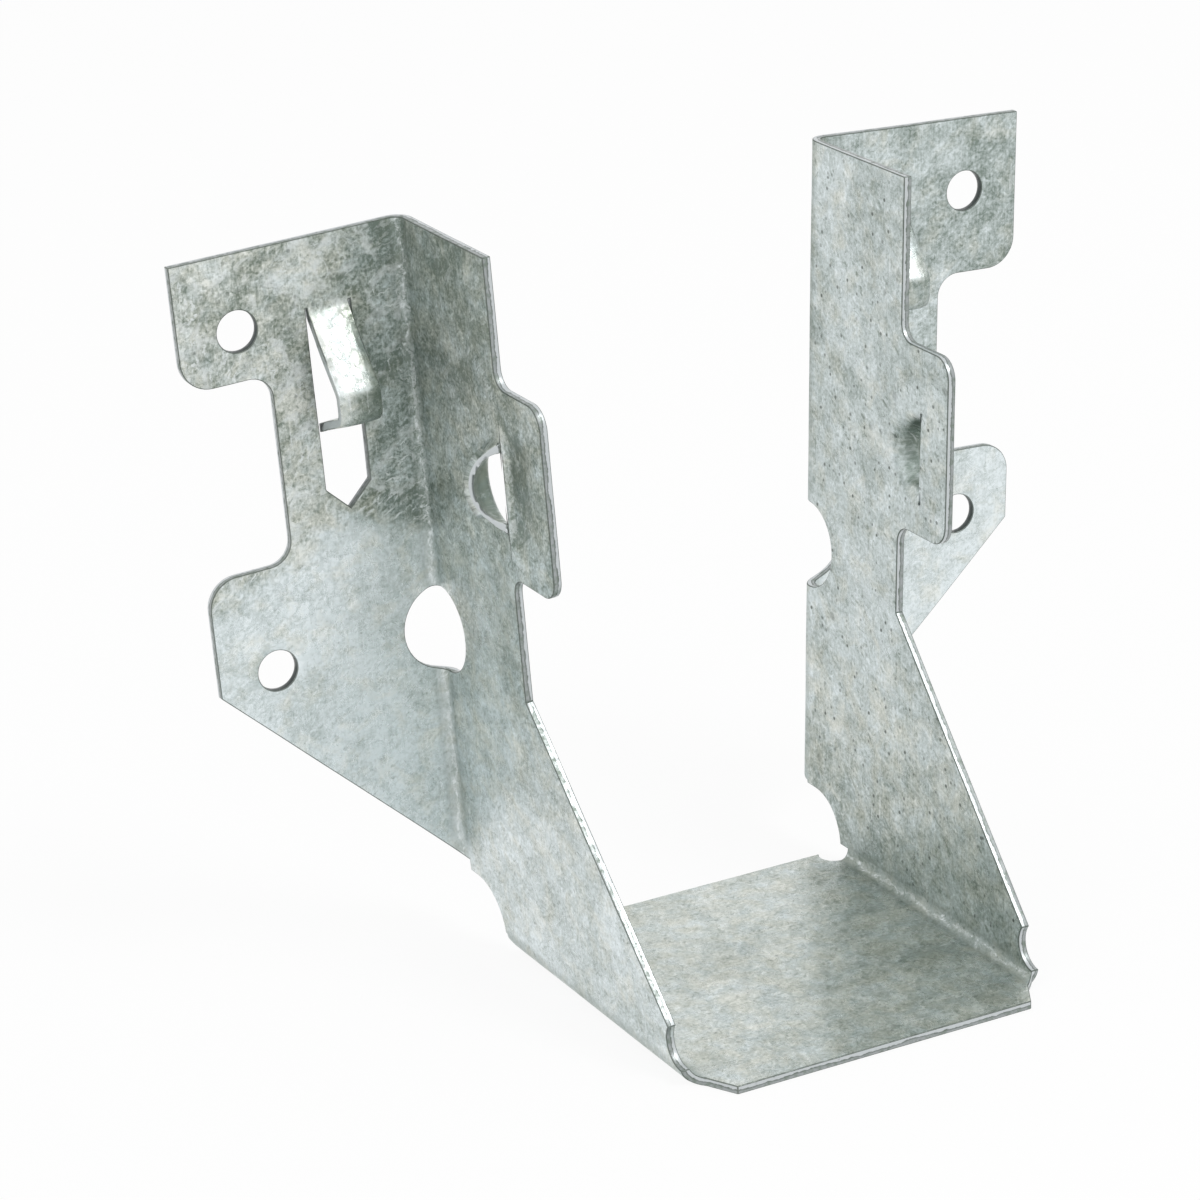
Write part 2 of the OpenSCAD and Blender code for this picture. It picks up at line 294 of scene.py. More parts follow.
def make_shader_groups():
    """Effects that the zinc and the cut edges share."""
    vec, num = "NodeSocketVector", "NodeSocketFloat"

    tree, get, give = shader_group(
        "Spangle", [("Vector", vec, None), ("Grain Size", num, 3.0), ("Feather", num, 0.5)],
        [("Tone", num), ("Flake", num), ("Brush", num), ("Vein", num)])
    scale = maths(tree, "DIVIDE", 1000.0, get["Grain Size"])
    warp = noise(tree, get["Vector"], 900.0, 4.0, 0.6)
    shift = add(tree, "ShaderNodeVectorMath", operation="SCALE")
    put(tree, shift, _0=(1.0, 0.8, 0.0), Scale=maths(tree, "MULTIPLY", warp, 0.0022))
    place = add(tree, "ShaderNodeVectorMath", operation="ADD")
    put(tree, place, _0=get["Vector"], _1=shift.outputs[0])
    cells = add(tree, "ShaderNodeTexVoronoi", feature="SMOOTH_F1", voronoi_dimensions="2D")
    put(tree, cells, Vector=place.outputs[0], Scale=scale, Smoothness=get["Feather"], Randomness=1.0)
    parts = add(tree, "ShaderNodeSeparateColor")
    put(tree, parts, Color=cells.outputs["Color"])
    tree.links.new(parts.outputs[0], give["Tone"])
    turn = add(tree, "ShaderNodeVectorRotate", rotation_type="Z_AXIS")
    put(tree, turn, Vector=place.outputs[0], Angle=maths(tree, "MULTIPLY", parts.outputs[2], 5.0))
    brush = noise(tree, stretched(tree, turn.outputs[0], 2100.0, 620.0), 1.0, 3.0, 0.6, 0.6)
    tree.links.new(brush, give["Brush"])
    fine = noise(tree, stretched(tree, turn.outputs[0], 1500.0, 480.0), 1.0, 5.0, 0.65, 0.8)
    flake = maths(tree, "MULTIPLY", span(tree, fine, 0.53, 0.62), span(tree, parts.outputs[1], 0.35, 0.6))
    tree.links.new(flake, give["Flake"])
    rims = add(tree, "ShaderNodeTexVoronoi", feature="DISTANCE_TO_EDGE", voronoi_dimensions="2D")
    put(tree, rims, Vector=place.outputs[0], Scale=scale, Randomness=1.0)
    wobble = maths(tree, "MULTIPLY", maths(tree, "SUBTRACT", fine, 0.5), 0.5)
    ragged = maths(tree, "ADD", rims.outputs["Distance"], wobble)
    tree.links.new(span(tree, ragged, 0.1, 0.02), give["Vein"])

    tree, get, give = shader_group(
        "Specks", [("Vector", vec, None), ("Size", num, 0.3), ("Amount", num, 0.3)], [("Mask", num)])
    dots = add(tree, "ShaderNodeTexVoronoi", feature="F1")
    put(tree, dots, Vector=get["Vector"], Scale=maths(tree, "DIVIDE", 320.0, get["Size"]), Randomness=1.0)
    pick = add(tree, "ShaderNodeSeparateColor")
    put(tree, pick, Color=dots.outputs["Color"])
    near = span(tree, dots.outputs["Distance"], 0.27, 0.12)
    chosen = maths(tree, "LESS_THAN", pick.outputs[0], get["Amount"])
    strength = maths(tree, "MULTIPLY", near, span(tree, pick.outputs[1], 0.0, 1.0, 0.25, 1.0, False))
    tree.links.new(maths(tree, "MULTIPLY", strength, chosen), give["Mask"])

    tree, get, give = shader_group(
        "Rolling", [("Vector", vec, None), ("Width", num, 0.25)], [("Streak", num), ("Scratch", num)])
    wide = maths(tree, "DIVIDE", 1000.0, get["Width"])
    lines = add(tree, "ShaderNodeVectorMath", operation="MULTIPLY")
    scales = add(tree, "ShaderNodeCombineXYZ")
    put(tree, scales, X=wide, Y=maths(tree, "MULTIPLY", wide, 0.09), Z=wide)
    put(tree, lines, _0=get["Vector"], _1=scales.outputs[0])
    tree.links.new(noise(tree, lines.outputs[0], 1.0, 3.0, 0.6), give["Streak"])
    long = noise(tree, stretched(tree, get["Vector"], 1900.0, 130.0), 1.0, 2.0, 0.5, 0.35)
    where = noise(tree, get["Vector"], 95.0, 2.0)
    scratch = maths(tree, "MULTIPLY", span(tree, long, 0.66, 0.72), span(tree, where, 0.5, 0.62))
    tree.links.new(scratch, give["Scratch"])

    # Painted shade along the cut edges, with a ragged border.
    tree, get, give = shader_group(
        "Painted edge shade", [("Vector", vec, None), ("Near", num, 0.0), ("Amount", num, 0.5)], [("Mask", num)])
    ragged = noise(tree, get["Vector"], 1700.0, 4.0, 0.6)
    raw = maths(tree, "ADD", get["Near"], maths(tree, "MULTIPLY", maths(tree, "SUBTRACT", ragged, 0.5), 0.7))
    tree.links.new(maths(tree, "MULTIPLY", span(tree, raw, 0.45, 0.95), get["Amount"]), give["Mask"])


# ---------------------------------------------------------------- materials


def start_material(name, view_colour):
    mat = bpy.data.materials.new(name)
    mat.use_nodes = True
    mat.diffuse_color = colour(view_colour)
    tree = mat.node_tree
    tree.nodes.clear()
    out = add(tree, "ShaderNodeOutputMaterial", 900)
    shader = add(tree, "ShaderNodeBsdfPrincipled", 600)
    tree.links.new(shader.outputs[0], out.inputs["Surface"])
    return mat, tree, shader


def attribute(tree, name, y=0):
    return add(tree, "ShaderNodeAttribute", -1500, y, attribute_name=name).outputs["Fac"]


def make_zinc(zinc):
    """Galvanised face of the sheet: feathered grains, rolled grain, specks, scratches and duller weathered areas, with
    painted light and shade from the per-point tone, painted shade and a painted highlight along the bends, and painted
    shade along the cut edges.
    """
    mat, tree, shader = start_material("zinc_face", zinc.mid)
    uv = add(tree, "ShaderNodeUVMap", -1500, uv_map="blank").outputs[0]
    tone_and_painted_light = attribute(tree, "tone_and_painted_light", -200)
    dull = attribute(tree, "weathering", -300)
    near = attribute(tree, "edge_near", -400)
    fold = attribute(tree, "fold", -500)
    dirt = attribute(tree, "speckle", -600)
    warmth = attribute(tree, "warmth", -700)
    big = use_group(tree, "Spangle", Vector=uv, Grain_Size=4.6, Feather=0.3)
    small = use_group(tree, "Spangle", Vector=uv, Grain_Size=1.3, Feather=0.5)
    roll = use_group(tree, "Rolling", Vector=uv, Width=0.22)
    pits = use_group(tree, "Specks", Vector=uv, Size=0.32, Amount=0.5)
    blots = use_group(tree, "Specks", Vector=uv, Size=0.75, Amount=0.12)
    cloud = noise(tree, uv, 75.0, 4.0, 0.6, 0.3)
    mottle = noise(tree, uv, 520.0, 4.0, 0.6, 0.5)
    grit = noise(tree, uv, 2600.0, 2.0, 0.6)

    swing = span(tree, dull, 0.0, 1.0, 0.75, 1.5, False)
    parts = (
        (cloud, 0.09), (mottle, 0.14), (grit, 0.2),
        (roll["Streak"], 0.1), (small["Brush"], 0.22), (big["Brush"], 0.12))
    level = None
    for source, height in parts:
        part = span(tree, source, 0.3, 0.7, -height, height, False)
        level = part if level is None else maths(tree, "ADD", level, part)
    level = maths(tree, "ADD", level, span(tree, big["Tone"], 0.2, 0.8, -0.09, 0.09, False))
    level = maths(tree, "ADD", level, span(tree, small["Tone"], 0.2, 0.8, -0.07, 0.07, False))
    # The per-point tone, mostly painted light and shade, shifts the ramp.
    level = maths(tree, "ADD", maths(tree, "MULTIPLY", level, swing), maths(tree, "ADD", tone_and_painted_light, 0.5), True)
    ramp = add(tree, "ShaderNodeValToRGB")
    ramp.color_ramp.elements[0].color = colour(zinc.dark)
    ramp.color_ramp.elements[1].color = colour(zinc.pale)
    middle = ramp.color_ramp.elements.new(0.5)
    middle.color = colour(zinc.mid)
    tree.links.new(level, ramp.inputs[0])
    base = ramp.outputs["Color"]

    hue = span(tree, noise(tree, uv, 330.0, 3.0, 0.6, 0.4), 0.3, 0.7, -0.7, 0.7, False)
    tint = blend(tree, maths(tree, "ADD", hue, warmth, True), colour(zinc.cool), colour(zinc.warm))
    base = blend(tree, 1.0, base, tint, "MULTIPLY")

    flakes = maths(tree, "MULTIPLY", big["Flake"], span(tree, dull, 0.4, 0.85, 0.05, 0.75))
    base = blend(tree, flakes, base, colour(zinc.pale))
    veins = maths(tree, "MULTIPLY", big["Vein"], span(tree, dull, 0.65, 0.95, 0.0, 0.6))
    veins = maths(tree, "MULTIPLY", veins, span(tree, mottle, 0.42, 0.58))
    base = blend(tree, veins, base, colour(zinc.pale))
    base = blend(tree, maths(tree, "MULTIPLY", roll["Scratch"], 0.45), base, colour(zinc.pale))
    hairs = maths(tree, "MULTIPLY", span(tree, small["Brush"], 0.4, 0.3), span(tree, cloud, 0.4, 0.6, 0.25, 0.8))
    base = blend(tree, maths(tree, "MULTIPLY", hairs, maths(tree, "ADD", dirt, 0.2)), base, colour(zinc.dark))
    base = blend(tree, maths(tree, "MULTIPLY", pits["Mask"], dirt), base, colour(zinc.speck_and_edge_shade))
    blot = maths(tree, "MULTIPLY", blots["Mask"], maths(tree, "MULTIPLY", dirt, 0.5))
    base = blend(tree, blot, base, colour(zinc.speck_and_edge_shade))

    # Painted shade darkens the zinc in each bend, and a ragged painted highlight runs along its crest.
    away = maths(tree, "ABSOLUTE", fold)
    base = blend(tree, span(tree, away, 1.5, 0.5, 0.0, 0.4), base, colour(zinc.dark))
    wander = maths(tree, "ADD", fold, span(tree, mottle, 0.3, 0.7, -0.55, 0.55, False))
    wander = maths(tree, "ABSOLUTE", wander)
    bend_painted_highlight = maths(tree, "MULTIPLY", span(tree, wander, 0.3, 0.05), span(tree, small["Brush"], 0.42, 0.6, 0.0, 0.6))
    base = blend(tree, bend_painted_highlight, base, colour(zinc.pale))

    # Painted shade along the cut edges.
    edge_shade = use_group(tree, "Painted edge shade", Vector=uv, Near=near, Amount=0.85)
    base = blend(tree, edge_shade["Mask"], base, colour(zinc.speck_and_edge_shade))
    tree.links.new(base, shader.inputs["Base Color"])
    shader.inputs["Metallic"].default_value = zinc.metal

    rough = maths(tree, "ADD", span(tree, mottle, 0.3, 0.7, 0.2, 0.32, False), maths(tree, "MULTIPLY", dull, 0.2))
    rough = maths(tree, "ADD", rough, span(tree, away, 1.5, 0.5, 0.0, 0.2))
    rough = maths(tree, "SUBTRACT", rough, maths(tree, "MULTIPLY", big["Flake"], 0.06), True)
    tree.links.new(rough, shader.inputs["Roughness"])

    relief = maths(tree, "ADD", maths(tree, "MULTIPLY", mottle, 0.7), maths(tree, "MULTIPLY", roll["Streak"], 0.4))
    relief = maths(tree, "ADD", relief, maths(tree, "MULTIPLY", small["Brush"], 0.5))
    relief = maths(tree, "SUBTRACT", relief, maths(tree, "MULTIPLY", pits["Mask"], 0.4))
    relief = maths(tree, "ADD", relief, maths(tree, "MULTIPLY", big["Flake"], 0.2))
    bump = add(tree, "ShaderNodeBump")
    put(tree, bump, Strength=0.55, Distance=0.07 * MM, Height=relief)
    tree.links.new(bump.outputs[0], shader.inputs["Normal"])
    return mat


def make_cut_edge(zinc):
    """Sheared edge: a bright burnished band, a dull torn band, a dark seam between them, painted shade along the rims
    and near-black painted shade on the walls of holes and slots.
    """
    mat, tree, shader = start_material("cut_edge", zinc.cut)
    where = add(tree, "ShaderNodeTexCoord", -1500, -200).outputs["Object"]
    near = attribute(tree, "edge_near", -400)
    depth = attribute(tree, "depth", -500)
    hole = attribute(tree, "hole", -600)
    torn = noise(tree, where, 1500.0, 4.0, 0.65, 0.3)
    wander = noise(tree, where, 350.0, 3.0, 0.6)
    pits = use_group(tree, "Specks", Vector=where, Size=0.3, Amount=0.5)
    across = maths(tree, "ADD", depth, span(tree, torn, 0.3, 0.7, -0.1, 0.1, False))
    across = maths(tree, "ADD", across, span(tree, wander, 0.3, 0.7, -0.12, 0.12, False))
    bright = span(tree, across, 0.5, 0.42)
    rough_part = blend(tree, span(tree, torn, 0.4, 0.7), colour(zinc.cut_torn), colour(zinc.dark))
    base = blend(tree, bright, rough_part, colour(zinc.cut))
    seam = maths(tree, "MULTIPLY", span(tree, across, 0.4, 0.48), span(tree, across, 0.62, 0.54))
    base = blend(tree, maths(tree, "MULTIPLY", seam, 0.6), base, colour(zinc.speck_and_edge_shade))
    base = blend(tree, maths(tree, "MULTIPLY", pits["Mask"], 0.5), base, colour(zinc.speck_and_edge_shade))
    # Painted shade along the rims of the cut edge.
    edge_shade = use_group(tree, "Painted edge shade", Vector=where, Near=near, Amount=0.75)
    base = blend(tree, edge_shade["Mask"], base, colour(zinc.speck_and_edge_shade))
    # Near-black painted shade on the walls of the nail holes and slots.
    base = blend(tree, maths(tree, "MULTIPLY", hole, 0.9), base, (0.03, 0.04, 0.038, 1.0))
    tree.links.new(base, shader.inputs["Base Color"])
    shader.inputs["Metallic"].default_value = zinc.metal
    tree.links.new(span(tree, torn, 0.35, 0.7, 0.28, 0.5), shader.inputs["Roughness"])
    bump = add(tree, "ShaderNodeBump")
    put(tree, bump, Strength=0.4, Distance=0.05 * MM, Height=torn)
    tree.links.new(bump.outputs[0], shader.inputs["Normal"])
    return mat


# ---------------------------------------------------------------- folded sheet


def sharp_edges(bm, degrees):
    limit = math.radians(degrees)
    return [e for e in bm.edges if len(e.link_faces) == 2 and e.calc_face_angle(0.0) > limit]


def join_slivers(bm, height):
    """Joins each face that is thinner than the height to the face across its longest edge."""
    for _ in range(3):
        thin = {}
        for f in bm.faces:
            longest = max(f.edges, key=lambda e: e.calc_length())
            if f.calc_area() < height * longest.calc_length() and len(longest.link_faces) == 2:
                if not any(o in thin for face in longest.link_faces for o in face.edges):
                    thin[longest] = True
        if not thin:
            return
        bmesh.ops.dissolve_edges(bm, edges=list(thin), use_verts=False)


def mark_cut_faces(bm, layer, sharp):
    """Gives each smooth region its kind: 1 for a narrow strip, which is a cut edge, and 0 for a face of the sheet."""
    walls = set(sharp)
    seen = set()
    for start in bm.faces:
        if start in seen:
            continue
        region, front = [], [start]
        seen.add(start)
        while front:
            face = front.pop()
            region.append(face)
            for e in face.edges:
                if e in walls:
                    continue
                for other in e.link_faces:
                    if other not in seen:
                        seen.add(other)
                        front.append(other)
        area = sum(f.calc_area() for f in region)
        rim = sum(e.calc_length() for f in region for e in f.edges if e in walls)
        kind = 1 if area / max(rim, 1e-9) < STRIP_SHARE * SHEET else 0
        for f in region:
            f[layer] = kind


def cut_across(bm, faces, axis, at):
    """Splits the faces along the plane across an axis."""
    normal = Vector([1.0 if i == axis else 0.0 for i in range(3)])
    corners = dict.fromkeys(v for f in faces for v in f.verts)
    edges = dict.fromkeys(e for f in faces for e in f.edges)
    bmesh.ops.bisect_plane(bm, geom=[*corners, *edges, *faces], dist=PLANE_DIST, plane_co=normal * at, plane_no=normal)


def spans(item, axis, at):
    """Whether an edge or a face reaches across the plane."""
    heights = [v.co[axis] for v in item.verts]
    return min(heights) < at < max(heights)


def by_corners(item):
    """A number from an item's three lowest corners, for an order of edges and faces that is the same on every run."""
    low = sorted(v.index for v in item.verts)[:3]
    return sum(i * 1e5 ** (2 - place) for place, i in enumerate(low))


def grid_cut(bm, step):
    """Cuts the mesh along planes across X, Y and Z, so that its large faces can bow."""
    for axis in range(3):
        low, high = CAD_BOX[0][axis], CAD_BOX[1][axis]
        count = int((high - low) / step)
        for i in range(1, count):
            at = low + (high - low) * (i + 0.37) / count
            faces = dict.fromkeys(f for e in bm.edges if spans(e, axis, at) for f in e.link_faces)
            cut_across(bm, faces, axis, at)


def read(items, name, width=1, kind=float):
    """One value, or a row of them, for each vertex, loop or face."""
    values = np.zeros(len(items) * width, kind)
    items.foreach_get(name, values)
    return values.reshape(-1, width) if width > 1 else values


def smooth(low, high, value):
    t = np.clip((value - low) / (high - low), 0.0, 1.0)
    return t * t * (3 - 2 * t)


def fine_cut(bm, header_y):
    """Cuts the left ear before its slit, and the prongs, finely enough to be pressed and rolled."""
    slit_y = header_y - LEFT_MOUTH
    ear = Vector((-24 * MM, slit_y - 8 * MM, 46 * MM)), Vector((-19 * MM, slit_y, 63 * MM))
    cuts = [(ear, 1, slit_y - i * 0.4 * MM) for i in range(1, 18)]
    cuts += [(ear, 2, 46.4 * MM + i * 0.8 * MM) for i in range(20)]
    for side in (-1, 1):
        low, high = sorted((side * 28 * MM, side * 37 * MM))
        prong = Vector((low, header_y - 9 * MM, 52 * MM)), Vector((high, header_y - 1.2 * MM, 72 * MM))
        cuts += [(prong, 0, side * (28.8 + i * 0.45) * MM) for i in range(18)]
    for (low, high), axis, at in cuts:
        faces = [f for f in bm.faces if all(low[i] <= c <= high[i] for i, c in enumerate(f.calc_center_median()))]
        faces = [f for f in faces if spans(f, axis, at)]
        if faces:
            cut_across(bm, faces, axis, at)


class Side:
    """Where points lie on the folded sheet, in the frame of an upright side and in the flat blank."""

    def __init__(self, co, header_y):
        self.side = np.where(co[:, 0] >= 0, 1.0, -1.0)
        self.left = self.side < 0
        x, z = np.abs(co[:, 0]) - SEAT_BEND_X, co[:, 2] - SEAT_BEND_Z
        cos, sin = math.cos(SPLAY), math.sin(SPLAY)
        ux, uz = x * cos - z * sin, x * sin + z * cos
        self.seat = (x < 0) & (z < 0)
        self.x, self.z, self.d = ux + SEAT_BEND_X, uz + SEAT_BEND_Z, header_y - co[:, 1]
        fx, fy = self.x - FLANGE_BEND_X, -self.d - FLANGE_BEND_Y
        lean = math.pi / 2 - SPLAY
        seat_arc = (uz < 0) & (ux >= 0) & ~self.seat
        flange = (fx > 0) & ~self.seat
        flange_arc = (fx <= 0) & (fy > 0) & ~self.seat
        turn = np.clip(np.arctan2(ux, -uz), 0.0, lean)
        bent = np.clip(np.arctan2(fy, -fx), 0.0, math.pi / 2)
        upright = np.where(uz < 0, SEAT_BEND_X + BEND_MID * turn, SEAT_BEND_X + BEND_MID * lean + uz)
        self.along = self.side * np.where(self.seat, np.abs(co[:, 0]), upright)
        self.across = np.where(
            flange, FLANGE_BEND_Y + BEND_MID * math.pi / 2 + fx,
            np.where(flange_arc, FLANGE_BEND_Y + BEND_MID * bent, -self.d))
        through = np.where(
            flange, self.d, np.where(
                flange_arc, BEND_IN + SHEET - np.hypot(fx, fy), np.where(
                    self.seat, SHEET - co[:, 2], np.where(seat_arc, np.hypot(ux, uz) - BEND_IN, ux - BEND_IN))))
        rim = (self.x > WALL_OUT + 0.15 * MM) & (self.d > 1.2 * MM)
        self.through = np.where(rim & ~self.seat, RIM_DEPTH, np.clip(through / SHEET, 0.0, 1.0))
        up_wall = np.where(uz < 0, BEND_MID * turn, BEND_MID * lean + uz)
        half = BEND_MID * math.pi / 4
        seat_fold = np.where(self.seat, np.abs(co[:, 0]) - SEAT_BEND_X, up_wall) / half - 1
        flange_fold = np.where(self.seat, -FOLD_NONE, 1 - (self.across - FLANGE_BEND_Y) / half)
        nearer = self.seat | (~flange & (np.abs(seat_fold) < np.abs(flange_fold)))
        self.fold = np.clip(np.where(nearer, seat_fold, flange_fold), -FOLD_LIMIT, FOLD_LIMIT)
        self.on_flange = np.where(self.seat, 0.0, smooth(3 * MM, 0.5 * MM, self.d))
        self.on_seat = (1 - smooth(2 * MM, 3.5 * MM, co[:, 2])) * (1 - smooth(18 * MM, 20.5 * MM, np.abs(co[:, 0])))
        self.mouth = np.where(self.left, LEFT_MOUTH, RIGHT_MOUTH)
        self.dome_z = np.where(self.left, LEFT_DOME_Z, RIGHT_DOME_Z)
        line = DULL_Z - DULL_FALL * np.abs(self.x - DULL_X)
        self.dull = smooth(-DULL_BELOW, DULL_ABOVE, self.z - line)


def weathering(p):
    """How dull and flaked the zinc is, from 0 to 1."""
    low_wall = smooth(1 * MM, 4 * MM, p.z)
    left = p.on_flange * (0.12 + 0.8 * p.dull) + (1 - p.on_flange) * (0.25 + 0.35 * p.dull) * low_wall
    right = p.on_flange * (0.1 + 0.35 * smooth(48 * MM, 58 * MM, p.z)) + (1 - p.on_flange) * 0.3 * low_wall
    prong = smooth(1 * MM, 2 * MM, p.d) * (np.abs(p.x - SLOT_X) < PRONG_HALF + 0.2 * MM)
    return np.where(p.left, left, right) * (1 - 0.9 * prong)


def speckle(p):
    """How many small dark specks and hairs show, from 0 to 1."""
    left = p.on_flange * (0.2 + 0.25 * smooth(46 * MM, 50 * MM, p.z)) + (1 - p.on_flange) * 0.35
    right = p.on_flange * 0.12 + (1 - p.on_flange)
    bulge = smooth(WALL_OUT, WALL_OUT + 0.5 * MM, p.x) * (p.d > 1.5 * MM)
    return (1 - p.on_seat) * (1 - 0.9 * bulge) * np.where(p.left, left, right) + p.on_seat * 0.4


def warmth(p):
    """How far the grey leans from bluish, 0, to yellowish, 1."""
    left = p.on_flange * (0.75 * p.dull * smooth(24 * MM, 28 * MM, p.x))
    left += (1 - p.on_flange) * (0.15 + 0.25 * smooth(8 * MM, 35 * MM, p.z) + 0.15 * smooth(45 * MM, 60 * MM, p.z))
    low = smooth(4 * MM, 8 * MM, p.z) * smooth(26 * MM, 18 * MM, p.z)
    right = (1 - p.on_flange) * (0.1 + 0.35 * low)
    return (1 - p.on_seat) * np.where(p.left, left, right) + 0.55 * p.on_seat


def left_flange_tone_and_shade(p):
    # Darker above the dull line, with painted shade towards the bend and a painted shadow beside the prong's slot.
    by_bend = smooth(27.5 * MM, 23.5 * MM, p.x)
    slot_painted_shadow = smooth(SLOT_X + 6.5 * MM, SLOT_X + SLOT_HALF, p.x) * smooth(SLOT_X, SLOT_X + SLOT_HALF, p.x)
    slot_painted_shadow *= smooth(54 * MM, 58 * MM, p.z) * smooth(69 * MM, 64 * MM, p.z)
    return 0.39 - 0.33 * p.dull - by_bend * (0.12 + 0.23 * p.dull) - 0.28 * slot_painted_shadow


def left_wall_painted_light(p):
    """Painted shade that darkens towards the top, with a painted highlight on the ridge and painted shade in the
    hollow along the slit of the nail guide.
    """
    ahead = p.d - p.mouth
    by_slit = smooth(7.5 * MM, 4 * MM, np.abs(p.z - p.dome_z)) * (p.x < WALL_OUT + 0.1 * MM) * (ahead > -0.05 * MM)
    # Painted highlight on the ridge along the slit, painted shade in the dip before it and towards the top.
    ridge = 0.2 * smooth(0.8 * MM, 0.4 * MM, ahead)
    dip_painted_shade = 0.34 * smooth(0.4 * MM, 1 * MM, ahead) * smooth(6 * MM, 2.5 * MM, ahead)
    upward_painted_shade = 0.31 * smooth(8 * MM, 42 * MM, p.z) + 0.13 * smooth(52 * MM, 66 * MM, p.z)
    return 0.17 - upward_painted_shade + by_slit * (ridge - dip_painted_shade)


def prong_painted_light(p):
    """Painted highlight above the knuckle except along one side, which is painted darker, and painted shade below it.
    """
    off = np.where(p.left, -1.0, 1.0) * (p.x - SLOT_X) / PRONG_HALF
    upper = smooth(KNUCKLE_Z - 0.3 * MM, KNUCKLE_Z + 0.6 * MM, p.z)
    return upper * (0.36 - 0.55 * smooth(0.35, 0.8, off)) + (1 - upper) * (-0.28 - 0.12 * off)


def dome_hollow_painted_shade(p, normals, co):
    """Where the painted shade goes: 1 on the hollow side of each nail guide, and 0 elsewhere."""
    centre = np.stack([p.side * 19 * MM, co[:, 1] + (p.d - p.mouth), p.dome_z], 1)
    reach = co - centre
    inward = np.einsum("ij,ij->i", normals, reach) < -0.55 * np.linalg.norm(reach, axis=1)
    near = np.hypot(p.d - p.mouth, p.z - p.dome_z) < DOME_R
    before = (p.d > DOMES_FROM_D) & (p.d < p.mouth + 0.1 * MM)
    return inward * near * before * smooth(WALL_OUT - 0.9 * MM, WALL_OUT + 0.3 * MM, p.x)


def tone_and_painted_light(p, normals, co):
    """How much paler or darker than plain zinc, from -0.5 to 0.5, mostly painted light and shade."""
    left = p.on_flange * left_flange_tone_and_shade(p) + (1 - p.on_flange) * left_wall_painted_light(p)
    right_flange = 0.38 - 0.27 * smooth(38 * MM, 46 * MM, p.z) - 0.2 * smooth(46 * MM, 60 * MM, p.z)
    # The right wall is painted darker towards the seat, a painted shade.
    right_wall_painted_shade = -0.17 + 0.2 * smooth(4 * MM, 20 * MM, p.z)
    value = np.where(p.left, left, p.on_flange * right_flange + (1 - p.on_flange) * right_wall_painted_shade)

    out = smooth(0.9 * MM, 2.5 * MM, p.d) * (np.abs(p.x - SLOT_X) < PRONG_HALF + 0.2 * MM) * (p.z > SLOT_LOW)
    value = (1 - out) * value + out * prong_painted_light(p)
    # Painted shade in the hollow of each nail guide.
    value -= 0.52 * dome_hollow_painted_shade(p, normals, co)
    # Beyond this line the seat gets a painted reflection of the right wall, darker.
    shade = co[:, 0] - SHADE_SLOPE * co[:, 1] - SHADE_X
    return (1 - p.on_seat) * value + p.on_seat * (0.05 - 0.18 * smooth(-SHADE_HALF, SHADE_HALF, shade))


class HANGER_OT_sheet(bpy.types.Operator):
    """Dress the folded sheet: rounded cut edges, the bow of the rolled sheet and the zinc finish"""

    bl_idname = "hanger.sheet"
    bl_label = "Folded sheet"

    def execute(self, context):
        size = context.scene.hanger_sheet
        zinc = context.scene.hanger_zinc
        header_y = max(m["pos_m"][1] for m in frame["record"]["mounts"])
        bm = bmesh.new()
        bm.from_mesh(frame["nodes"]["hanger"].data)
        bmesh.ops.remove_doubles(bm, verts=bm.verts, dist=WELD_FIRST)
        bmesh.ops.dissolve_limit(bm, angle_limit=math.radians(FLAT_ANGLE), verts=bm.verts, edges=bm.edges)
        bmesh.ops.remove_doubles(bm, verts=bm.verts, dist=WELD_LAST)
        join_slivers(bm, SLIVER_HEIGHT)
        kind = bm.faces.layers.int.new("kind")
        sharp = sharp_edges(bm, SHARP_ANGLE)
        mark_cut_faces(bm, kind, sharp)
        made = bmesh.ops.bevel(
            bm, geom=sharp, offset=size.edge_round, offset_type="OFFSET", segments=2, profile=0.5,
            affect="EDGES", clamp_overlap=False, loop_slide=False)
        for f in made["faces"]:
            f[kind] = 2
        grid_cut(bm, size.grid_step)
        fine_cut(bm, header_y)
        bmesh.ops.triangulate(bm, faces=[f for f in bm.faces if len(f.verts) > 4])
        bmesh.ops.dissolve_degenerate(bm, dist=DEGENERATE, edges=bm.edges)
        bmesh.ops.recalc_face_normals(bm, faces=bm.faces)
        open_edges = sum(1 for e in bm.edges if len(e.link_faces) != 2)
        if open_edges:
            raise RuntimeError(f"the sheet has {open_edges} open edges")
        bm.verts.index_update()
        bm.edges.sort(key=by_corners)
        bm.faces.sort(key=by_corners)
        mesh = bpy.data.meshes.new("hanger_sheet")
        bm.to_mesh(mesh)
        bm.free()
        piece = bpy.data.objects.new("hanger_sheet", mesh)
        context.scene.collection.objects.link(piece)
        finish_mesh(mesh, header_y)
        for mat in (make_zinc(zinc), make_cut_edge(zinc)):
            mesh.materials.append(mat)
        kinds = read(mesh.attributes["kind"].data, "value", kind=np.int32)
        mesh.polygons.foreach_set("material_index", (kinds == 1).astype(np.int32))
        bow_sheet(piece, size, header_y)
        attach(piece, "root")
        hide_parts("hanger")
        return {"FINISHED"}


def painted_wall_shade(p, co):
    """Painted shade: 1 on the walls of the header's nail holes, less on a prong's slot walls, and 0 away from them."""
    slot = (np.abs(p.x - SLOT_X) < SLOT_HALF + 0.2 * MM) & (p.z > SLOT_LOW - 0.3 * MM) & (p.z < SLOT_HIGH - 1 * MM)
    value = SLOT_PAINTED_SHADE * (slot & (p.d < SHEET * 1.02))
    for m in frame["record"]["mounts"]:
        if m["kind"] != "bolt_pattern":
            continue
        for side in (-0.5, 0.5):
            x = m["pos_m"][0] + side * m["dims"]["spacing_x_mm"] * MM
            away = np.hypot(co[:, 0] - x, co[:, 2] - m["pos_m"][2])
            value[(away < m["dims"]["hole_r_mm"] * MM + 0.05 * MM)] = 1.0
    return value


